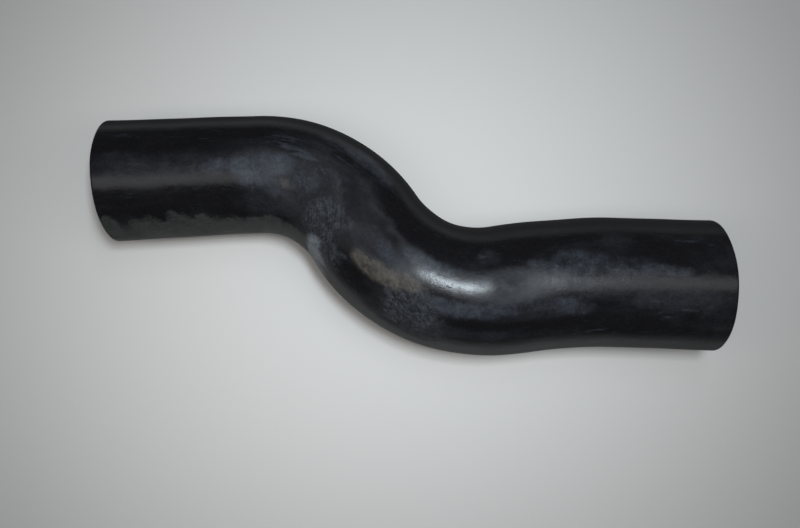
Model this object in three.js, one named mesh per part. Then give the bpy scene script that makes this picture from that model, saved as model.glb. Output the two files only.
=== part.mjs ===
// A charge air hose: one moulded rubber tube with a small cuff, two opposite bends and a larger cuff.
//
// The hose is drawn straight first, as the round sleeve it starts as: two cuffs, an even wall and a
// long swell from the small bore to the large one. The sleeve is then formed along its centre line,
// the way the soft rubber is pushed over a bent mandrel and cured there, and laid on the floor.
//
// Millimetres and degrees, +Z up. The small cuff runs along +X and the hose lies on the plane z = 0.

import * as THREE from "three";

// Bores and wall
const wall = 5;
const smallBore = 49.2; // where the small cuff meets the first bend
const smallMouthFlare = 1.3; // added to the small bore at its mouth
const largeBore = 55;
const edgeBreak = 0.5; // bevel on the four rim edges

// Centre line, from the small end to the large end; a negative bend turns towards -Y
const smallCuffLength = 74;
const firstBendRadius = 61;
const firstBendAngle = -59.5;
const secondBendRadius = 68;
const secondBendAngle = 64;
const linkLength = 18;
const cuffBendRadius = 260;
const cuffBendAngle = -8.5;
const largeCuffLength = 51;
const largeEndLean = 2; // the large end is trimmed this far out of square, in the bend plane

// Fineness of the surface
const sidesAround = 48;
const ringLength = 15; // longest step between rings on a straight run
const ringAngle = 4; // largest turn between rings on a bend

const rubber = new THREE.MeshStandardMaterial({ color: 0x17181a, roughness: 0.5, metalness: 0 });

// A straight run of the centre line.
function straight(length) {
  return { length, curvature: 0, steps: Math.ceil(length / ringLength) };
}

// A bend of the centre line, positive to the left.
function bend(radius, angle) {
  const turn = THREE.MathUtils.degToRad(Math.abs(angle));
  return {
    length: radius * turn,
    curvature: Math.sign(angle) / radius,
    steps: Math.ceil(Math.abs(angle) / ringAngle),
  };
}

const smallCuff = straight(smallCuffLength);
const firstBend = bend(firstBendRadius, firstBendAngle);
const secondBend = bend(secondBendRadius, secondBendAngle);
const link = straight(linkLength);
const cuffBend = bend(cuffBendRadius, cuffBendAngle);
const largeCuff = straight(largeCuffLength);
const centreLine = [smallCuff, firstBend, secondBend, link, cuffBend, largeCuff];
const hoseLength = centreLine.reduce((sum, run) => sum + run.length, 0);

// The swell starts with the first bend and ends where the cuff bend begins.
const swellStart = smallCuff.length;
const swellEnd = hoseLength - largeCuff.length - cuffBend.length;

// Where the centre line is, and which way it heads, at a distance along it.
function stationAt(along) {
  const station = { x: 0, y: 0, heading: 0 };
  let left = along;
  for (const run of centreLine) {
    const step = Math.min(left, run.length);
    const before = station.heading;
    const after = before + run.curvature * step;
    if (run.curvature === 0) {
      station.x += step * Math.cos(before);
      station.y += step * Math.sin(before);
    } else {
      station.x += (Math.sin(after) - Math.sin(before)) / run.curvature;
      station.y += (Math.cos(before) - Math.cos(after)) / run.curvature;
    }
    station.heading = after;
    left -= step;
  }
  return station;
}

// The bore at a distance along the hose: flared at the small mouth, then swelling to the large bore.
function boreAt(along) {
  const flare = smallMouthFlare * (1 - THREE.MathUtils.smoothstep(along, 0, swellStart));
  const swell = (largeBore - smallBore) * THREE.MathUtils.smoothstep(along, swellStart, swellEnd);
  return smallBore + flare + swell;
}

// Distances along the hose where it gets a ring of vertices, from end to end.
function ringStations() {
  const stations = [0];
  let start = 0;
  for (const run of centreLine) {
    for (let i = 1; i <= run.steps; i++) stations.push(start + (run.length * i) / run.steps);
    start += run.length;
  }
  return stations;
}

// Half section of the straight sleeve, as (radius, distance along), going once round the wall.
function sleeveSection() {
  const inside = (along) => boreAt(along) / 2;
  const outside = (along) => boreAt(along) / 2 + wall;
  const between = ringStations().slice(1, -1);
  const last = hoseLength;
  return [
    new THREE.Vector2(inside(0) + edgeBreak, 0),
    new THREE.Vector2(outside(0) - edgeBreak, 0),
    new THREE.Vector2(outside(0), edgeBreak),
    ...between.map((along) => new THREE.Vector2(outside(along), along)),
    new THREE.Vector2(outside(last), last - edgeBreak),
    new THREE.Vector2(outside(last) - edgeBreak, last),
    new THREE.Vector2(inside(last) + edgeBreak, last),
    new THREE.Vector2(inside(last), last - edgeBreak),
    ...between.toReversed().map((along) => new THREE.Vector2(inside(along), along)),
    new THREE.Vector2(inside(0), edgeBreak),
    new THREE.Vector2(inside(0) + edgeBreak, 0),
  ];
}

// Carries each point of the straight sleeve to its place round the bent centre line.
// A point's x in the sleeve is its distance to the right of the line, and its z its height above it.
// The rim at the large end leans as it is trimmed there, longer on its right side.
function formAlongCentreLine(sleeve) {
  const lean = Math.tan(THREE.MathUtils.degToRad(largeEndLean));
  const rimStart = hoseLength - 2 * edgeBreak;
  const points = sleeve.getAttribute("position");
  for (let i = 0; i < points.count; i++) {
    const aside = points.getX(i);
    const along = points.getY(i);
    const height = points.getZ(i);
    const { x, y, heading } = stationAt(along);
    const trim = along > rimStart ? aside * lean : 0;
    points.setXYZ(
      i,
      x + aside * Math.sin(heading) + trim * Math.cos(heading),
      y - aside * Math.cos(heading) + trim * Math.sin(heading),
      height,
    );
  }
  return sleeve;
}

function makeHose() {
  const sleeve = new THREE.LatheGeometry(sleeveSection(), sidesAround);
  const hose = new THREE.Mesh(formAlongCentreLine(sleeve), rubber);
  hose.name = "charge_air_hose";
  return hose;
}

// The roll about the small cuff that brings both cuffs down to the floor, because the large one is
// thicker and lies to one side.
function restingRoll() {
  const largeCuffStart = stationAt(hoseLength - largeCuff.length);
  const radiusStep = (boreAt(hoseLength) - boreAt(0)) / 2;
  return Math.asin(THREE.MathUtils.clamp(radiusStep / largeCuffStart.y, -1, 1));
}

// Turns the hose as it rests, with its box's bottom centre at the origin.
function layOnFloor(hose) {
  hose.rotation.x = restingRoll();
  const box = new THREE.Box3().setFromObject(hose, true);
  const centre = box.getCenter(new THREE.Vector3());
  hose.position.set(-centre.x, -centre.y, -box.min.z);
  return hose;
}

const part = new THREE.Group();
part.add(layOnFloor(makeHose()));

export default part;
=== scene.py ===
# Charge air hose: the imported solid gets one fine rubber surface, a pale floor, lamps and a camera.
# Metres, +Z up. Small sizes are written in mm and turned into metres where a mesh is made.
import bpy
import math
import numpy as np
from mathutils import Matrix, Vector


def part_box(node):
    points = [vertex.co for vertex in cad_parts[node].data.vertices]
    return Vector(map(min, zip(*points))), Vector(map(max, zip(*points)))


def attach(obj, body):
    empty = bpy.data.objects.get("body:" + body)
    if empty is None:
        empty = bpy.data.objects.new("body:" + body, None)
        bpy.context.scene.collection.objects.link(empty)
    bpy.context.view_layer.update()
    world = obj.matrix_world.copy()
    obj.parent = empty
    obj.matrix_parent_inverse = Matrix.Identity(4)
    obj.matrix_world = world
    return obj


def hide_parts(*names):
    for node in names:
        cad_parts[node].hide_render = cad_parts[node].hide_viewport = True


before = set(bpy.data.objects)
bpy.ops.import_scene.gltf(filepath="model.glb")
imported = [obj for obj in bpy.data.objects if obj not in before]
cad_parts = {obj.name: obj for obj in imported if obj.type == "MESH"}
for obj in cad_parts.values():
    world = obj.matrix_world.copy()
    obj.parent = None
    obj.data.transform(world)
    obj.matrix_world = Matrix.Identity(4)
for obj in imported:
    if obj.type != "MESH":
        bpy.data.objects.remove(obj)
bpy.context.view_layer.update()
mm = 0.001


# The hose's form

hose = {
    "wall": 5.0,
    "smallBore": 49.2,
    "mouthFlare": 1.3,       # added to the small bore at its mouth
    "largeBore": 55.0,
    # the centre line: a straight run's length, or a bend's radius and its angle, negative to the right
    "runs": (("straight", 74.0, 0.0), ("bend", 61.0, -59.5), ("bend", 68.0, 64.0),
             ("straight", 18.0, 0.0), ("bend", 260.0, -8.5), ("straight", 51.0, 0.0)),
    "endLean": 2.0,          # degrees that the large end is trimmed out of square
    "leanLength": 9.0,       # how far from the end the trim's slant reaches
    "edgeRound": 0.9,        # rounding of the four rim edges
    "aroundCount": 192,
    "outerCount": 340,
    "innerCount": 96,
    "edgeCount": 5,          # rows in each rounded edge
    "faceCount": 6,          # rows across each cut face
    # the knife's path round each end: mm, waves once round, phase
    "cutWaves": ((0.12, 3, 0.7), (0.07, 7, 0.0)),
    "cutWaveLength": 3.0,    # how far from the ends the path is felt
    # slow waves of the surface: mm out, mm along per radian, waves once round, phase
    "slowWaves": ((0.06, 9.0, 2, 0), (0.05, 5.3, -3, 1), (0.05, 17.0, 1, 2)),
    # how far the left and right flanks stand in or out of true, as (mm along, mm out)
    "leftFlank": ((0, 0.1), (20, -0.1), (55, 0.0), (80, -0.25), (105, -0.2), (125, 0.0), (150, -0.1),
                  (172, -0.5), (190, -0.35), (208, -0.15), (228, 0.1), (245, -0.4), (262, 0.0), (320, 0.0)),
    "rightFlank": ((0, 0.0), (25, -0.25), (52, -0.4), (75, -0.15), (100, -0.3), (125, 0.0), (150, 0.2),
                   (170, -0.35), (186, -0.3), (196, -0.75), (208, -0.35), (220, 0.1), (240, -0.1),
                   (280, -0.3), (300, 0.05), (320, 0.1)),
    "flankBlur": (8.0, 9),   # mm to each side over which the flanks' tables are averaged, and places
}


def curvedRuns():
    # each run as (length, curvature per mm, start along); a bend's length is radius times angle
    runs, start = [], 0.0
    for kind, size, angle in hose["runs"]:
        length = size if kind == "straight" else size * math.radians(abs(angle))
        curvature = 0.0 if kind == "straight" else math.copysign(1 / size, angle)
        runs.append((length, curvature, start))
        start += length
    return runs, start


runList, hoseLength = curvedRuns()
swellStart = runList[1][2]        # the bore swells from the first bend to the cuff's bend
swellEnd = runList[4][2]
largeCuffStart = runList[5][2]


def easeBetween(value, low, high):
    # 3t^2 - 2t^3 with t the share of the way from low to high
    t = np.clip((value - low) / (high - low), 0, 1)
    return t * t * (3 - 2 * t)


def centreLine(along):
    # heading = sum of curvature times distance; x and y = sum of straight and arc steps
    x, y, heading = (np.zeros_like(along) for _ in range(3))
    for length, curvature, start in runList:
        step = np.clip(along - start, 0, length)
        if curvature == 0:
            x = x + step * np.cos(heading)
            y = y + step * np.sin(heading)
        else:
            turned = heading + curvature * step
            x = x + (np.sin(turned) - np.sin(heading)) / curvature
            y = y + (np.cos(heading) - np.cos(turned)) / curvature
            heading = turned
    return x, y, heading


def boreRadius(along):
    # half of: small bore + mouth flare, which fades to the first bend + swell to the large bore
    flare = hose["mouthFlare"] * (1 - easeBetween(along, 0, swellStart))
    swell = (hose["largeBore"] - hose["smallBore"]) * easeBetween(along, swellStart, swellEnd)
    return (hose["smallBore"] + flare + swell) / 2


def smoothTable(table, along):
    # straight lines between the table's points, averaged over places to both sides
    points = np.array(table, float)
    reach, places = hose["flankBlur"]
    spread = np.linspace(-reach, reach, places)
    return np.interp(along[..., None] + spread, points[:, 0], points[:, 1]).mean(-1)


def sectionLoop():
    # once round the wall, as (distance along, height in the wall from bore to outside):
    # outside towards the large end, its rim, the bore back, the small rim;
    # each rounded edge is a quarter circle
    wall, edge = hose["wall"], hose["edgeRound"]
    turn = np.linspace(0, math.pi / 2, hose["edgeCount"] + 1)[1:]
    inward, onward = edge * (1 - np.cos(turn)), edge * np.sin(turn)
    outer = np.linspace(edge, hoseLength - edge, hose["outerCount"])
    inner = np.linspace(hoseLength - edge, edge, hose["innerCount"])
    face = np.linspace(wall - edge, edge, hose["faceCount"] + 2)[1:-1]
    flat = np.full(hose["faceCount"], hoseLength)
    along = np.concatenate([outer, hoseLength - edge + onward, flat, hoseLength - inward, inner[1:],
                            edge - onward, 0 * flat, inward[:-1]])
    height = np.concatenate([0 * outer + wall, wall - inward, face, edge - onward, 0 * inner[1:],
                             inward, face[::-1], wall - edge + onward[:-1]])
    return along, height


def waveSum(waves, angle):
    # sum of size * sin(times round * angle + phase)
    return sum(size * np.sin(times * angle + phase) for size, times, phase in waves)


def flankRelief(along, angle):
    # the flanks' tables, each fading with the square of the angle's sine, plus the slow waves,
    # each size * sin(along / reach + times round * angle + phase)
    left = smoothTable(hose["leftFlank"], along) * np.clip(np.sin(angle), 0, 1) ** 2
    right = smoothTable(hose["rightFlank"], along) * np.clip(-np.sin(angle), 0, 1) ** 2
    slow = sum(size * np.sin(along / reach + times * angle + phase)
               for size, reach, times, phase in hose["slowWaves"])
    return left + right + slow


def resting(points):
    # rolled about +X until both cuffs lie on the floor: sine of the roll = how much thicker the large
    # cuff is in radius / how far it lies to the side
    rise = boreRadius(np.array([hoseLength]))[0] - boreRadius(np.array([0.0]))[0]
    aside = centreLine(np.array([largeCuffStart]))[1][0]
    roll = math.asin(rise / aside)
    cosRoll, sinRoll = math.cos(roll), math.sin(roll)
    return points @ np.array([[1, 0, 0], [0, cosRoll, sinRoll], [0, -sinRoll, cosRoll]])


def formHose(along, height, angle, relief):
    # place = centre line + left * radius * sin(angle) + up * radius * cos(angle), then rolled to rest;
    # radius = bore radius + height in the wall + relief
    radius = boreRadius(along) + height + relief
    aside, up = -radius * np.sin(angle), radius * np.cos(angle)     # aside is to the right
    lean = math.tan(math.radians(hose["endLean"]))
    shifted = along + aside * lean * easeBetween(along, hoseLength - hose["leanLength"], hoseLength)
    x, y, heading = centreLine(shifted)
    past = shifted - np.clip(shifted, 0, hoseLength)                # the lean reaches past the end
    x = x + past * np.cos(heading) + aside * np.sin(heading)
    y = y + past * np.sin(heading) - aside * np.cos(heading)
    return resting(np.stack([x, y, up], -1)), radius


def makeHose():
    # the section loop (rows) at each angle round the hose (columns), moved so that the hose without
    # its relief lies with its box's bottom centre at that of the solid's box
    along, height = sectionLoop()
    angle = np.linspace(0, 2 * math.pi, hose["aroundCount"], endpoint=False)
    along, angle = np.meshgrid(along, angle, indexing="ij")
    height = np.broadcast_to(height[:, None], along.shape)
    relief = flankRelief(along, angle) * easeBetween(height, 0, hose["wall"])
    near = hose["cutWaveLength"]
    nearEnd = easeBetween(along, hoseLength - near, hoseLength) - (1 - easeBetween(along, 0, near))
    cutPath = waveSum(hose["cutWaves"], angle) * nearEnd
    places, radius = formHose(along + cutPath, height, angle, relief)
    plain = formHose(along, height, angle, 0 * relief)[0].reshape(-1, 3)
    low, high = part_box("charge_air_hose")
    target = np.array([(low[0] + high[0]) / 2, (low[1] + high[1]) / 2, low[2]])
    offset = target - np.array([*(plain.min(0) + plain.max(0))[:2] / 2, plain[:, 2].min()]) * mm
    points = places * mm + offset

    rows, columns = along.shape
    here = np.arange(rows)[:, None] * columns + np.arange(columns)[None, :]
    nextRow = np.roll(here, -1, 0)
    faces = np.stack([here, nextRow, np.roll(nextRow, -1, 1), np.roll(here, -1, 1)], -1).reshape(-1, 4)
    mesh = bpy.data.meshes.new("rubberHose")
    mesh.from_pydata(points.reshape(-1, 3).tolist(), [], faces.tolist())
    mesh.polygons.foreach_set("use_smooth", np.ones(len(faces), bool))
    mesh.validate()
    obj = bpy.data.objects.new("rubberHose", mesh)
    bpy.context.scene.collection.objects.link(obj)
    return obj, points, along, height, angle, radius


hoseObject, pointGrid, alongGrid, heightGrid, angleGrid, radiusGrid = makeHose()
smallEndCentre = pointGrid[-hose["faceCount"]].mean(0) / mm       # middle of a row on the small cut face
print("hose surface", len(hoseObject.data.vertices), "points", round(hoseLength, 1), "mm long")
print("small end centre", smallEndCentre.round(2))


# Where the marks are on the rubber

# Each mark is made of ovals on the unrolled outside: mm along, degrees round from the top (positive to
# the left flank), half length, half breadth in degrees, and strength.
marks = {
    "film": (
        (30, 2, 46, 16, 0.8), (88, -32, 24, 16, 1.0), (110, 0, 40, 60, 0.5), (148, -4, 26, 14, 1.0),
        (168, -46, 20, 18, 0.7), (200, -40, 24, 8, 0.7), (222, 56, 14, 12, 0.8), (266, 38, 10, 10, 0.8),
        (262, 0, 60, 14, 0.8), (250, -42, 26, 8, 0.5), (84, 52, 60, 12, 0.45), (206, 30, 8, 8, 1.0),
        (296, 42, 20, 8, 0.5), (14, 14, 9, 6, 0.9), (230, -22, 26, 8, 0.8), (296, -14, 30, 12, 0.8),
        (278, -16, 8, 6, 1.0), (312, -30, 10, 14, 0.6), (40, -22, 8, 4, 0.5), (56, 112, 32, 24, 1.0),
        (150, 108, 30, 20, 1.0), (232, 104, 30, 18, 1.0), (292, 122, 20, 22, 0.9),
        (40, -112, 30, 20, 1.0), (118, -120, 24, 24, 0.9), (192, -106, 26, 18, 1.0),
        (268, -110, 30, 20, 1.0), (84, 178, 34, 28, 0.7), (206, 176, 44, 28, 0.7)),
    "bloomAndPaintedHalo": (
        # the ovals from 157 to 220 mm along, round the second bend's highlight, paint a bluish halo of that
        # highlight; the others are bloom
        (60, 0, 9, 8, 0.6), (72, -1, 11, 10, 1.0), (84, 2, 14, 12, 1.0), (98, -2, 12, 14, 0.4),
        (76, -14, 11, 12, 0.6), (88, -17, 12, 10, 0.5), (196, -18, 24, 8, 0.9), (220, -10, 14, 9, 0.5),
        (231, 13, 18, 10, 0.45), (246, 16, 18, 13, 0.5), (268, 13, 18, 10, 0.4), (246, -22, 10, 7, 0.5),
        (232, -15, 24, 6, 0.35), (243, 0, 13, 8, 0.5), (288, 10, 14, 6, 0.35), (118, 46, 16, 11, 0.7),
        (157, 0, 11, 8, 0.45), (170, 12, 13, 8, 1.0), (184, 13, 10, 6, 0.6), (50, 108, 16, 14, 0.8),
        (212, 104, 20, 11, 0.8), (170, 122, 14, 14, 0.7), (282, -104, 18, 13, 0.8),
        (100, -112, 15, 14, 0.8), (226, -118, 16, 13, 0.7)),
    "dust": (
        (4, -58, 6, 16, 0.9), (25, -62, 12, 19, 1.0), (40, -60, 14, 19, 1.0), (34, -46, 5, 8, 0.7),
        (17, -50, 5, 8, 0.6), (58, -64, 16, 16, 1.0), (82, -64, 24, 17, 1.0), (106, -66, 18, 18, 0.8)),
    "rubbed": (
        (103, -6, 13, 26, 0.35), (112, -3, 12, 34, 0.36), (122, -26, 15, 26, 1.0),
        (136, -42, 12, 16, 0.8), (176, -36, 12, 26, 1.0), (168, -24, 8, 10, 0.8), (184, -52, 8, 14, 0.7),
        (30, 178, 16, 20, 0.7), (262, 180, 26, 16, 0.8)),
    "streaked": (
        (95, 24, 15, 12, 1.0), (110, 34, 14, 10, 0.8), (302, 35, 14, 4, 0.8), (292, -22, 20, 10, 0.6),
        (206, 28, 10, 6, 0.6), (262, -46, 30, 6, 0.6), (40, 36, 40, 6, 0.4), (96, 104, 24, 12, 0.7),
        (246, -98, 28, 9, 0.7), (24, -126, 20, 14, 0.6), (300, 150, 16, 16, 0.6)),
    "clean": (
        (32, -33, 33, 14, 1.0), (58, -36, 9, 12, 1.0), (34, 30, 40, 18, 1.0), (70, 34, 18, 12, 0.8),
        (112, 31, 7, 7, 1.0), (117, 23, 6, 8, 1.0), (121, 15, 6, 8, 1.0), (125, 7, 6, 8, 1.0),
        (130, -1, 6, 7, 1.0), (133, 18, 10, 10, 0.8), (150, 24, 24, 16, 1.0), (182, 32, 26, 18, 1.0),
        (222, 36, 14, 14, 1.0), (294, 28, 28, 16, 1.0), (250, 42, 14, 8, 0.7), (149, -35, 6, 5, 1.0),
        (206, 16, 9, 6, 0.8), (158, -39, 7, 5, 1.0), (262, -36, 34, 12, 1.0), (206, -32, 18, 6, 0.8),
        (306, -36, 14, 12, 0.7)),
    # the pale patches on the inner flank of the first bend are a painted reflection off a crease there
    "pale": ((126, -51, 8, 9, 1.0), (131, -62, 11, 12, 1.0), (134, -75, 11, 12, 1.0)),
    "dull": (
        (114, -4, 30, 42, 1.0), (140, 3, 25, 19, 1.0), (174, -40, 18, 24, 0.8), (82, 6, 18, 16, 0.6),
        (215, 4, 11, 18, 0.3)),
    "matt": ((164, 4, 22, 20, 0.9), (216, 2, 24, 20, 1.0)),
    "polished": ((182, 2, 13, 12, 0.9), (190, 6, 16, 16, 1.0), (198, 5, 12, 12, 0.7)),
    # tan paints a warm-tinted highlight on the crest just before the second bend's highlight, and a small
    # painted glint at 94 mm along
    "tan": ((152, -21, 10, 8, 0.95), (160, -17, 11, 9, 1.0), (168, -11, 10, 8, 0.95), (94, -13, 7, 6, 0.62)),
}

# How each mark breaks up: noise scale per metre, raggedness and softness of its edge, and blotches.
markEdges = {
    "film": (100.0, 0.8, 0.5, 0.5),
    "bloomAndPaintedHalo": (110.0, 0.8, 0.5, 0.6),
    "dust": (150.0, 1.1, 0.30, 0.6),
    "rubbed": (140.0, 0.9, 0.40, 0.6),
    "streaked": (150.0, 0.8, 0.40, 0.3),
    "clean": (120.0, 0.8, 0.28, 0.35),
    "pale": (130.0, 0.6, 0.45, 0.4),
    "dull": (110.0, 0.7, 0.5, 0.0),
    "matt": (110.0, 0.5, 0.5, 0.0),
    "polished": (90.0, 0.25, 0.5, 0.0),
    "tan": (160.0, 0.85, 0.50, 0.25),
}

# Ranges over which the other masks ease in
maskRanges = {
    "oval": (0.35, 1.35),          # of the distance from an oval's centre, 1 at its outline
    "cutDepth": 0.5,               # mm from each end
    "flank": (0.3, 0.75),          # of 1 - cos(angle)
    "upperSide": (0.5, 0.9),       # of sin(angle)
    "upperFront": (-0.25, 0.1),    # of cos(angle)
    "upperRim": (0.2, 0.58),       # of 1 - cos(angle)
}


def ovalMask(ovals):
    # strongest of the ovals, each full at its centre and easing to 0 past its outline
    degrees = (np.degrees(angleGrid) + 180) % 360 - 180
    mask = np.zeros_like(alongGrid)
    for centre, around, halfLength, halfBreadth, strength in ovals:
        turn = (degrees - around + 180) % 360 - 180
        away = np.sqrt(((alongGrid - centre) / halfLength) ** 2 + (turn / halfBreadth) ** 2)
        mask = np.maximum(mask, strength * (1 - easeBetween(away, *maskRanges["oval"])))
    return mask


def addAttribute(mesh, name, kind, values):
    layer = mesh.attributes.new(name, kind, "POINT")
    field = "value" if kind == "FLOAT" else "vector"
    layer.data.foreach_set(field, np.asarray(values, np.float32).ravel())


def addMarks(mesh):
    # unbent = (distance along, radius * sin(angle), radius * cos(angle)), the place before forming
    unbent = np.stack([alongGrid, radiusGrid * np.sin(angleGrid), radiusGrid * np.cos(angleGrid)], -1)
    addAttribute(mesh, "unbent", "FLOAT_VECTOR", unbent * mm)
    outside = (heightGrid > hose["wall"] / 2).astype(float)
    depth = maskRanges["cutDepth"]
    upper = (easeBetween(np.sin(angleGrid), *maskRanges["upperSide"])
             * easeBetween(np.cos(angleGrid), *maskRanges["upperFront"]))
    masks = {name: ovalMask(ovals) * outside for name, ovals in marks.items()}
    masks["inside"] = 1 - easeBetween(heightGrid, 0.0, hose["edgeRound"])
    masks["cutFace"] = np.maximum(1 - easeBetween(alongGrid, 0, depth),
                                  easeBetween(alongGrid, hoseLength - depth, hoseLength))
    masks["flank"] = easeBetween(1 - np.cos(angleGrid), *maskRanges["flank"])
    masks["upper"] = upper
    masks["upperRim"] = upper * easeBetween(1 - np.cos(angleGrid), *maskRanges["upperRim"])
    for name, values in masks.items():
        addAttribute(mesh, name, "FLOAT", values)


addMarks(hoseObject.data)
print("marks placed:", ", ".join(marks))


# Node helpers

def newGroup(name, inputs, outputs):
    # a shader node group with named sockets, each input given as (name, kind, value), and with it
    # the sockets that its nodes read from and write to
    group = bpy.data.node_groups.new(name, "ShaderNodeTree")
    for label, kind, value in inputs:
        socket = group.interface.new_socket(label, in_out="INPUT", socket_type=kind)
        if value is not None:
            socket.default_value = value
    for label, kind in outputs:
        group.interface.new_socket(label, in_out="OUTPUT", socket_type=kind)
    return group, group.nodes.new("NodeGroupInput").outputs, group.nodes.new("NodeGroupOutput").inputs


def addNode(tree, kind, settings=None, **links):
    # one node; i0, i1 and so on are sockets by number and other names are sockets by name, and each
    # is given a socket to join or a plain value to set
    node = tree.nodes.new(kind)
    for key, value in (settings or {}).items():
        setattr(node, key, value)
    for label, value in links.items():
        key = int(label[1:]) if label[0] == "i" and label[1:].isdigit() else label
        if isinstance(value, bpy.types.NodeSocket):
            tree.links.new(value, node.inputs[key])
        else:
            node.inputs[key].default_value = value
    return node


def maths(tree, operation, first, second):
    return addNode(tree, "ShaderNodeMath", {"operation": operation}, i0=first, i1=second).outputs[0]


def mapRange(tree, value, low, high, toLow=0.0, toHigh=1.0):
    node = addNode(tree, "ShaderNodeMapRange", {"interpolation_type": "SMOOTHSTEP"},
                   i0=value, i1=low, i2=high, i3=toLow, i4=toHigh)
    return node.outputs[0]


def stretched(tree, vector, scale, turn=(0, 0, 0)):
    # turned first, then stretched
    turned = addNode(tree, "ShaderNodeMapping", None, Vector=vector, Rotation=turn).outputs[0]
    return addNode(tree, "ShaderNodeMapping", None, Vector=turned, Scale=scale).outputs[0]


def noise(tree, vector, scale, detail, rough, distortion):
    node = addNode(tree, "ShaderNodeTexNoise", None, Vector=vector, Scale=scale, Detail=detail,
                   Roughness=rough, Distortion=distortion)
    return node.outputs[0]


def useGroup(tree, group, **links):
    return addNode(tree, "ShaderNodeGroup", {"node_tree": group}, **links).outputs[0]


def attribute(tree, name, output="Fac"):
    return addNode(tree, "ShaderNodeAttribute", {"attribute_name": name}).outputs[output]


def mixColour(tree, share, first, second):
    return addNode(tree, "ShaderNodeMix", {"data_type": "RGBA"}, i0=share, i6=first, i7=second).outputs[2]


def mixValue(tree, share, first, second):
    return addNode(tree, "ShaderNodeMix", {"data_type": "FLOAT"}, i0=share, i2=first, i3=second).outputs[0]


def scaleVector(tree, vector, scale):
    node = addNode(tree, "ShaderNodeVectorMath", {"operation": "SCALE"}, i0=vector, Scale=scale)
    return node.outputs[0]


# Effects

effects = {
    "edgeNoise": (6.0, 0.62, 0.3),       # detail, roughness and distortion of a mark's edge
    "blotchNoise": (6.0, 0.68, 0.6),
    "blotchScale": 1.7,                  # blotches are this much finer than the edge
    "blotchRange": (0.64, 0.36),
    "markFloor": (0.0, 0.2),             # a mark is cut off where its value is in this range
    "streakNoise": (4.0, 0.65, 0.1),
    "streakWidth": 0.14,
    "speckPatches": (160.0, 2.0, 0.55, 0.0),
}


def makeMarkGroup():
    # a placed mark with a ragged edge and a blotchy middle: a soft step of mark + raggedness * noise
    # about one half, thinned where a finer noise is low
    group, entry, outlet = newGroup("raggedMark", [
        ("Vector", "NodeSocketVector", None), ("Mark", "NodeSocketFloat", 0.0),
        ("Scale", "NodeSocketFloat", 90.0), ("Raggedness", "NodeSocketFloat", 0.9),
        ("Softness", "NodeSocketFloat", 0.25), ("Blotches", "NodeSocketFloat", 0.5),
    ], [("Mask", "NodeSocketFloat")])
    cloud = noise(group, entry["Vector"], entry["Scale"], *effects["edgeNoise"])
    shifted = maths(group, "MULTIPLY", maths(group, "SUBTRACT", cloud, 0.5), entry["Raggedness"])
    total = maths(group, "ADD", entry["Mark"], maths(group, "MULTIPLY", shifted, 2.0))
    low = maths(group, "SUBTRACT", 0.5, entry["Softness"])
    high = maths(group, "ADD", 0.5, entry["Softness"])
    mask = mapRange(group, total, low, high)
    fineScale = maths(group, "MULTIPLY", entry["Scale"], effects["blotchScale"])
    blotches = noise(group, entry["Vector"], fineScale, *effects["blotchNoise"])
    thinned = maths(group, "MULTIPLY", entry["Blotches"], mapRange(group, blotches, *effects["blotchRange"]))
    mask = maths(group, "MULTIPLY", mask, maths(group, "SUBTRACT", 1.0, thinned))
    mask = maths(group, "MULTIPLY", mask, mapRange(group, entry["Mark"], *effects["markFloor"]))
    group.links.new(mask, outlet["Mask"])
    return group


def makeStreakGroup():
    # fine lines: noise on a drawn-out place, kept only where it is strongest
    group, entry, outlet = newGroup("streaks", [
        ("Vector", "NodeSocketVector", None), ("Scale", "NodeSocketFloat", 100.0),
        ("Keep", "NodeSocketFloat", 0.6),
    ], [("Mask", "NodeSocketFloat")])
    lines = noise(group, entry["Vector"], entry["Scale"], *effects["streakNoise"])
    full = maths(group, "ADD", entry["Keep"], effects["streakWidth"])
    group.links.new(mapRange(group, lines, entry["Keep"], full), outlet["Mask"])
    return group


def makeSpeckGroup():
    # scattered specks: near the middles of random cells, their size uneven with a slow noise
    group, entry, outlet = newGroup("specks", [
        ("Vector", "NodeSocketVector", None), ("Scale", "NodeSocketFloat", 500.0),
        ("Size", "NodeSocketFloat", 0.3),
    ], [("Mask", "NodeSocketFloat")])
    cells = addNode(group, "ShaderNodeTexVoronoi", {"feature": "F1"}, Vector=entry["Vector"],
                    Scale=entry["Scale"], Randomness=1.0)
    patchy = noise(group, entry["Vector"], *effects["speckPatches"])
    size = maths(group, "MULTIPLY", entry["Size"], maths(group, "MULTIPLY", patchy, 2.0))
    mask = mapRange(group, cells.outputs["Distance"], size, maths(group, "MULTIPLY", size, 0.5))
    group.links.new(mask, outlet["Mask"])
    return group


markGroup, streakGroup, speckGroup = makeMarkGroup(), makeStreakGroup(), makeSpeckGroup()


# Rubber

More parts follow.
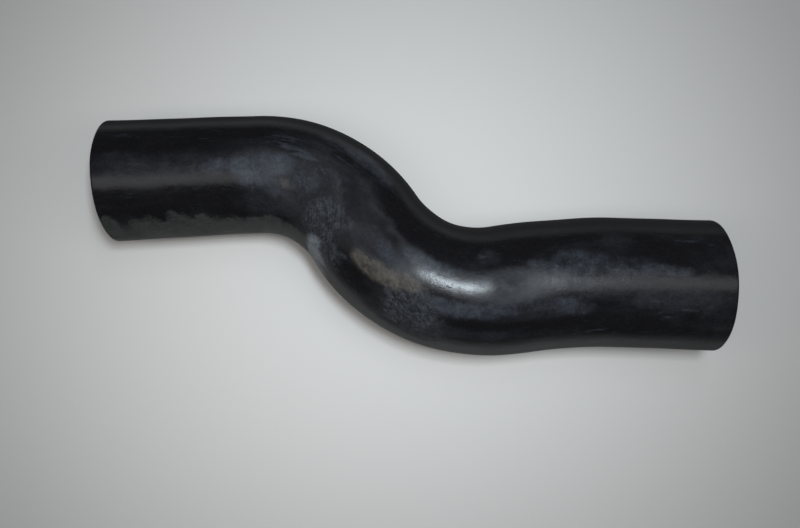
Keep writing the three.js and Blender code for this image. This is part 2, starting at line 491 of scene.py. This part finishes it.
rubber = {
    "black": (0.0060, 0.0055, 0.0065, 1),
    "film": (0.025, 0.0245, 0.028, 1),      # thin pale film over most of it
    "bloomAndPaintedHalo": (0.045, 0.050, 0.061, 1),      # bluish bloom in the clouds, and a painted bluish halo round the second bend's highlight
    "dust": (0.041, 0.041, 0.037, 1),
    "rubbed": (0.059, 0.062, 0.068, 1),
    # pale: the colour of the painted crease reflection
    "pale": (0.175, 0.190, 0.205, 1),
    # tan: colour of the painted warm highlight and glint
    "tan": (0.112, 0.095, 0.077, 1),
    "cut": (0.022, 0.022, 0.024, 1),
    "boreBlack": (0.015, 0.015, 0.016, 1),
    "filmShare": 0.8,                       # how strongly each mark's colour is laid on
    "bloomShare": 0.85,
    "rubbedShare": 0.85,
    "dustShare": 0.9,
    "creaseReflectionShare": 0.9,
    "scratchShare": 0.25,
    "paleStrokeShare": 0.7,
    "darkStrokeShare": 0.8,
    "fleckShare": 0.85,
    "speckShare": 0.15,                     # dark specks outside the rubbed marks
    "thinFilm": 0.35,                       # film by its own noise, and by the placed mark
    "placedFilm": 0.65,
    "mottleShare": 0.55,                    # the two noises that break up the rubbed marks
    "slantShare": 0.45,
    "cleanBloom": 0.6,                      # how much of the bloom a clean mark takes off, and so on
    "cleanRubbed": 0.75,
    "cleanFilm": 0.85,
    "upperFilm": 0.9,                       # how much of the film is taken off the upper flank, which makes that side darker
    "rubbedBloom": 0.6,
    "specks": (620.0, 0.22),                # scale per metre and size
    "scratches": (520.0, 0.62),             # scale per metre, and the noise from which a line is kept
    "cleanRoughness": 0.18,
    "filmRoughness": 0.30,
    "bloomRoughness": 0.40,
    "mattRoughness": 0.46,
    "dullRoughness": 0.90,
    "polishedRoughness": 0.22,
    "flankRoughness": 0.68,
    "upperRoughness": 0.95,
    "dustRoughness": 0.60,
    "tanRoughness": 0.42,
    "cutRoughness": 0.7,
    "boreRoughness": 0.5,
    "flankShare": 0.8,
    "upperShare": 0.9,
    "specular": 0.22,
    "grainHeight": 0.10,                    # heights in the bump, as shares of its distance
    "unevenHeight": 0.6,
    "rubbedHeight": 0.12,
    "scratchDepth": 0.12,
    "speckDepth": 0.10,
    "knifeHeight": 1.2,
    "bumpStrength": 0.6,
    "bumpDistance": 0.0004,
}

# Noises on the unbent hose: scale per metre, detail, roughness and distortion
noises = {
    "film": (85.0, 6.0, 0.65, 0.4),
    "slant": (330.0, 4.0, 0.6, 0.5),
    "mottle": (430.0, 6.0, 0.76, 0.6),
    "strokes": (260.0, 5.0, 0.65, 0.3),
    "flecks": (800.0, 5.0, 0.75, 0.6),
    "tone": (900.0, 4.0, 0.7, 0.0),
    "grain": (2600.0, 3.0, 0.6, 0.0),
    "uneven": (160.0, 3.0, 0.5, 0.0),
    "knife": (240.0, 3.0, 0.6, 0.0),
}

# How far each direction of a noise is squeezed: along the hose, to the left and up
stretches = {
    "film": (0.4, 1.0, 1.0),
    "scratches": (0.22, 2.4, 2.4),
    "slant": (0.5, 1.8, 1.0),
    "slantTurn": (0, 0, math.radians(38)),
    "strokes": (0.3, 1.6, 1.6),
    "knife": (1.0, 1.0, 14.0),
}

# Ranges that the noises are cut to: from low to high, and the values that these become
cuts = {
    "film": (0.38, 0.66),
    "rubbed": (0.43, 0.55, 0.2, 1.0),
    "paleStrokes": (0.52, 0.64),
    "darkStrokes": (0.46, 0.38),
    "flecks": (0.49, 0.41),
    "tone": (0.30, 0.70, 0.78, 1.22),
    "tan": (0.34, 0.62, 0.52, 0.74),
}


def makeRubber():
    material = bpy.data.materials.new("wipedBlackRubber")
    material.use_nodes = True
    tree = material.node_tree
    tree.nodes.clear()
    out = tree.nodes.new("ShaderNodeOutputMaterial")
    shader = tree.nodes.new("ShaderNodeBsdfPrincipled")
    tree.links.new(shader.outputs[0], out.inputs["Surface"])
    place = attribute(tree, "unbent", "Vector")
    slantPlace = stretched(tree, place, stretches["slant"], stretches["slantTurn"])

    def mark(name, blotchy=True):
        scale, raggedness, softness, blotches = markEdges[name]
        return useGroup(tree, markGroup, Vector=place, Mark=attribute(tree, name), Scale=scale,
                        Raggedness=raggedness, Softness=softness, Blotches=blotches if blotchy else 0.0)

    def pattern(name, where=place):
        return noise(tree, where, *noises[name])

    def cut(name, value):
        return mapRange(tree, value, *cuts[name])

    def times(first, second):
        return maths(tree, "MULTIPLY", first, second)

    def plus(first, second):
        return maths(tree, "ADD", first, second)

    def most(first, second):
        return maths(tree, "MAXIMUM", first, second)

    def less(first, second, share):
        # first * (1 - second * share)
        return times(first, maths(tree, "SUBTRACT", 1.0, times(second, share)))

    clean = mark("clean")
    # bloom, with the painted halo round the second bend's highlight
    bloomAndPaintedHalo = less(mark("bloomAndPaintedHalo"), clean, rubber["cleanBloom"])
    dust = mark("dust")
    rubbedArea = less(mark("rubbed"), clean, rubber["cleanRubbed"])
    streaked = mark("streaked")
    # tan: painted warm highlight and glint
    tan = mark("tan")
    thinFilm = cut("film", pattern("film", stretched(tree, place, stretches["film"])))
    film = plus(times(thinFilm, rubber["thinFilm"]), times(mark("film"), rubber["placedFilm"]))
    film = less(film, clean, rubber["cleanFilm"])
    film = less(film, attribute(tree, "upper"), rubber["upperFilm"])
    slant = pattern("slant", slantPlace)
    worn = plus(times(pattern("mottle"), rubber["mottleShare"]), times(slant, rubber["slantShare"]))
    rubbed = times(rubbedArea, cut("rubbed", worn))
    speckScale, speckSize = rubber["specks"]
    specks = useGroup(tree, speckGroup, Vector=place, Scale=speckScale, Size=speckSize)
    scratchScale, scratchKeep = rubber["scratches"]
    scratches = useGroup(tree, streakGroup, Vector=stretched(tree, place, stretches["scratches"]),
                         Scale=scratchScale, Keep=scratchKeep)
    strokes = pattern("strokes", stretched(tree, place, stretches["strokes"]))
    paleStrokes = times(streaked, cut("paleStrokes", strokes))
    darkStrokes = times(streaked, cut("darkStrokes", strokes))
    flecks = times(cut("flecks", pattern("flecks", slantPlace)), mark("rubbed", blotchy=False))
    inside = attribute(tree, "inside")
    cutFace = attribute(tree, "cutFace")

    paleLines = most(times(scratches, rubber["scratchShare"]), times(paleStrokes, rubber["paleStrokeShare"]))
    layers = (
        ("film", times(film, rubber["filmShare"])),
        # bloom and the painted halo of the highlight
        ("bloomAndPaintedHalo", times(less(bloomAndPaintedHalo, rubbedArea, rubber["rubbedBloom"]), rubber["bloomShare"])),
        ("rubbed", times(rubbed, rubber["rubbedShare"])),
        ("dust", times(dust, rubber["dustShare"])),
        # pale: painted reflection off the crease
        ("pale", times(mark("pale"), rubber["creaseReflectionShare"])),
        # tan: painted warm highlight, laid on in its own square
        ("tan", times(times(tan, tan), cut("tan", slant))),
        ("bloomAndPaintedHalo", paleLines),
    )
    colour = rubber["black"]
    for name, share in layers:
        colour = mixColour(tree, share, colour, rubber[name])
    darkSpecks = times(specks, most(rubbedArea, rubber["speckShare"]))
    dark = most(darkSpecks, times(darkStrokes, rubber["darkStrokeShare"]))
    dark = most(dark, times(flecks, rubber["fleckShare"]))
    colour = mixColour(tree, dark, colour, rubber["black"])
    colour = scaleVector(tree, colour, cut("tone", pattern("tone")))
    colour = mixColour(tree, cutFace, colour, rubber["cut"])
    colour = mixColour(tree, inside, colour, rubber["boreBlack"])
    tree.links.new(colour, shader.inputs["Base Color"])

    finishes = (
        ("filmRoughness", film),
        ("bloomRoughness", bloomAndPaintedHalo),
        ("mattRoughness", mark("matt")),
        ("dullRoughness", mark("dull")),
        ("dullRoughness", rubbed),
        ("polishedRoughness", mark("polished")),
        ("flankRoughness", times(attribute(tree, "flank"), rubber["flankShare"])),
        ("upperRoughness", times(attribute(tree, "upperRim"), rubber["upperShare"])),
        ("dustRoughness", dust),
        ("tanRoughness", tan),
        ("cutRoughness", cutFace),
        ("boreRoughness", inside),
    )
    rough = rubber["cleanRoughness"]
    for name, share in finishes:
        rough = mixValue(tree, share, rough, rubber[name])
    tree.links.new(rough, shader.inputs["Roughness"])
    shader.inputs["Specular IOR Level"].default_value = rubber["specular"]

    height = plus(times(pattern("grain"), rubber["grainHeight"]),
                  times(pattern("uneven"), rubber["unevenHeight"]))
    height = plus(height, times(rubbed, rubber["rubbedHeight"]))
    height = plus(height, times(scratches, -rubber["scratchDepth"]))
    height = plus(height, times(specks, -rubber["speckDepth"]))
    knife = pattern("knife", stretched(tree, place, stretches["knife"]))
    height = mixValue(tree, cutFace, height, times(knife, rubber["knifeHeight"]))
    bump = addNode(tree, "ShaderNodeBump", None, Strength=rubber["bumpStrength"],
                   Distance=rubber["bumpDistance"], Height=height)
    tree.links.new(bump.outputs[0], shader.inputs["Normal"])
    return material


hoseObject.data.materials.append(makeRubber())
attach(hoseObject, "root")
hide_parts("charge_air_hose")
print("rubber made")


# Camera

# The picture's own axes on the floor: its middle is where the camera looks, and it is turned by tilt.
view = {
    "smallEnd": (-144.45, 41.77),   # mm right of and above the picture's middle
    "tilt": 2.46,                   # degrees that the small cuff rises to the right in the picture
    "height": 404.8,                # camera above the floor, mm
    "focal": 740.4,                 # in pixels
    "width": 800,                   # the picture's, in pixels
    "sensor": 36.0,                 # mm
}
pictureTurn = math.radians(-view["tilt"])


def picturePlace(right, up, height):
    # small end's centre + the step from the small end in the picture, turned by -tilt
    dx, dy = right - view["smallEnd"][0], up - view["smallEnd"][1]
    cosTurn, sinTurn = math.cos(pictureTurn), math.sin(pictureTurn)
    return Vector((smallEndCentre[0] + dx * cosTurn - dy * sinTurn,
                   smallEndCentre[1] + dx * sinTurn + dy * cosTurn, height)) * mm


def makeCamera():
    data = bpy.data.cameras.new("camera")
    data.sensor_width = view["sensor"]
    data.lens = view["focal"] / view["width"] * view["sensor"]
    data.dof.use_dof = False
    obj = bpy.data.objects.new("camera", data)
    bpy.context.scene.collection.objects.link(obj)
    obj.location = picturePlace(0, 0, view["height"])
    obj.rotation_euler = (0, 0, pictureTurn)
    bpy.context.scene.camera = obj


makeCamera()


# Floor, room and lamps

room = {
    "pale": (0.40, 0.41, 0.41, 1),    # what the camera sees past the floor
    "dim": (0.9, 0.95, 1.0, 1),       # what lights the hose from there
    "dimStrength": 0.08,
}

floor = {
    "colour": (0.752, 0.708, 0.664),
    "roughness": 0.6,
    "specular": 0.3,
    "half": 3.0,                      # half its side, m
    "drop": 0.0003,                   # below the hose's rest plane, m
    # middle, reach, the falloff power and edge paint a pool of light into the floor's colour
    "middle": (-44, -25),             # where the painted pool of light is brightest, mm right of and above the picture's middle
    "reach": 404.8,                   # mm
    "paintedFalloff": 1.505,
    "edge": 420.0,                    # the painted pool of light keeps its tone from here on, mm
    "paleRange": (0.29, 0.46),        # where the camera's pale tone comes in, m from the middle
}


def makeFloor():
    half = floor["half"]
    mesh = bpy.data.meshes.new("floor")
    corners = [(-half, -half, 0), (half, -half, 0), (half, half, 0), (-half, half, 0)]
    mesh.from_pydata(corners, [], [(0, 1, 2, 3)])
    obj = bpy.data.objects.new("floor", mesh)
    bpy.context.scene.collection.objects.link(obj)
    obj.location = (0, 0, -floor["drop"])
    mesh.materials.append(makeFloorMaterial())


def makeFloorMaterial():
    # the colour is a painted pool of light: tone = (1 + (distance / reach)^2) ^ -(falloff power), with
    # distance from the brightest place held at edge
    material = bpy.data.materials.new("paleFloor")
    material.use_nodes = True
    tree = material.node_tree
    shader = tree.nodes["Principled BSDF"]
    place = tree.nodes.new("ShaderNodeTexCoord").outputs["Object"]
    middle = tuple(picturePlace(*floor["middle"], 0))
    away = addNode(tree, "ShaderNodeVectorMath", {"operation": "DISTANCE"}, i0=place, i1=middle)
    distance = away.outputs["Value"]
    held = maths(tree, "MINIMUM", distance, floor["edge"] * mm)
    share = maths(tree, "DIVIDE", held, floor["reach"] * mm)
    spread = maths(tree, "ADD", maths(tree, "MULTIPLY", share, share), 1.0)
    tone = maths(tree, "POWER", spread, -floor["paintedFalloff"])
    tree.links.new(scaleVector(tree, floor["colour"], tone), shader.inputs["Base Color"])
    shader.inputs["Roughness"].default_value = floor["roughness"]
    shader.inputs["Specular IOR Level"].default_value = floor["specular"]
    # far from the hose the camera, and nothing else, sees the pale tone that is past the floor too
    pale = addNode(tree, "ShaderNodeEmission", None, Color=room["pale"], Strength=1.0)
    far = mapRange(tree, distance, *floor["paleRange"])
    seen = tree.nodes.new("ShaderNodeLightPath").outputs["Is Camera Ray"]
    mix = addNode(tree, "ShaderNodeMixShader", None, i0=maths(tree, "MULTIPLY", far, seen),
                  i1=shader.outputs[0], i2=pale.outputs[0])
    tree.links.new(mix.outputs[0], tree.nodes["Material Output"].inputs["Surface"])
    return material


def makeWorld():
    world = bpy.data.worlds.new("room")
    world.use_nodes = True
    tree = world.node_tree
    tree.nodes.clear()
    out = tree.nodes.new("ShaderNodeOutputWorld")
    dim = addNode(tree, "ShaderNodeBackground", None, Color=room["dim"], Strength=room["dimStrength"])
    pale = addNode(tree, "ShaderNodeBackground", None, Color=room["pale"], Strength=1.0)
    seen = tree.nodes.new("ShaderNodeLightPath").outputs["Is Camera Ray"]
    mix = addNode(tree, "ShaderNodeMixShader", None, i0=seen, i1=dim.outputs[0], i2=pale.outputs[0])
    tree.links.new(mix.outputs[0], out.inputs["Surface"])
    bpy.context.scene.world = world


# Each lamp looks straight down: its place as mm right, up and above the floor, the sides of its
# rectangle in m, power in W, colour, and degrees that it is turned against the picture.
lamps = {
    "lamp": ((61, 52, 550), (0.05, 0.10), 1.75, (0.80, 0.91, 1.0), 0.0),
    "window": ((64, 130, 550), (0.03, 0.34), 0.46, (0.80, 0.91, 1.0), 0.0),
    "strip": ((0, -10, 430), (0.8, 0.15), 0.75, (1.0, 1.0, 1.0), 3.7),
}


def makeLamp(name, place, sides, power, colour, turn):
    data = bpy.data.lights.new(name, "AREA")
    data.shape = "RECTANGLE"
    data.size, data.size_y = sides
    data.energy = power
    data.color = colour
    obj = bpy.data.objects.new(name, data)
    bpy.context.scene.collection.objects.link(obj)
    obj.location = picturePlace(*place)
    obj.rotation_euler = (0, 0, math.radians(turn) + pictureTurn)


makeFloor()
makeWorld()
for lampName, lampSettings in lamps.items():
    makeLamp(lampName, *lampSettings)
bpy.context.scene.view_settings.view_transform = "Standard"
print("camera, floor, room and lamps ready")
